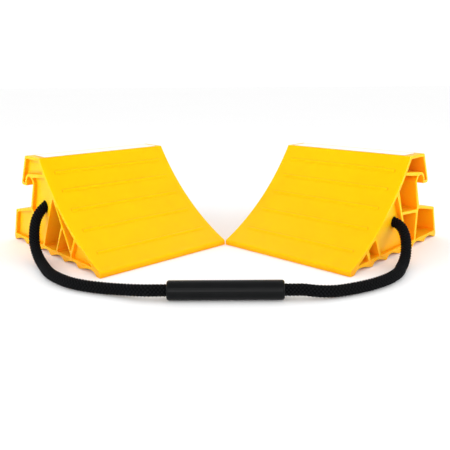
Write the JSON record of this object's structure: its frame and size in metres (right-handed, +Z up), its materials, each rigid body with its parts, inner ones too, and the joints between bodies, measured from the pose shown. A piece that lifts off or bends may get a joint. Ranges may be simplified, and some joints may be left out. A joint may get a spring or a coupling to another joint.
{
  "type": "wheel chock pair",
  "caption": "Pair of hollow ribbed yellow plastic wheel chocks joined by a black braided rope with a carrying grip.",
  "frame": {"origin": "on the ground, in the middle of the footprint of the chocks and the grip", "axes": "+X to the right across the pair, +Y back from the grip towards the chocks, +Z up"},
  "size_m": [0.5692, 0.3553, 0.1178],
  "materials": {
    "chock_plastic": "moulded, semi-gloss yellow, orange in the hollows",
    "label": "blank white film",
    "rope": "braided, matte black",
    "grip": "satin black"
  },
  "bodies": {
    "handle_rope": {"middle_rope": "rope"},
    "grip": {"carrying_grip": "grip"},
    "left_side": {"left_rope": "rope", "left_knot": "rope", "left_chock": "chock_plastic", "left_label": "label"},
    "right_side": {"right_rope": "rope", "right_knot": "rope", "right_chock": "chock_plastic", "right_label": "label"}
  },
  "joints": [
    {"name": "grip_slide", "type": "slide", "parent": "handle_rope", "child": "grip", "axis": [1, 0, 0], "range_m": [-0.012, 0.012]},
    {"name": "left_swing", "type": "hinge", "parent": "handle_rope", "child": "left_side", "pos_m": [-0.075, -0.1674, 0.0098], "axis": [0, 0, 1], "range_deg": [0, 40]},
    {"name": "right_swing", "type": "hinge", "parent": "handle_rope", "child": "right_side", "pos_m": [0.075, -0.1674, 0.0098], "axis": [0, 0, 1], "range_deg": [-40, 0]}
  ]
}
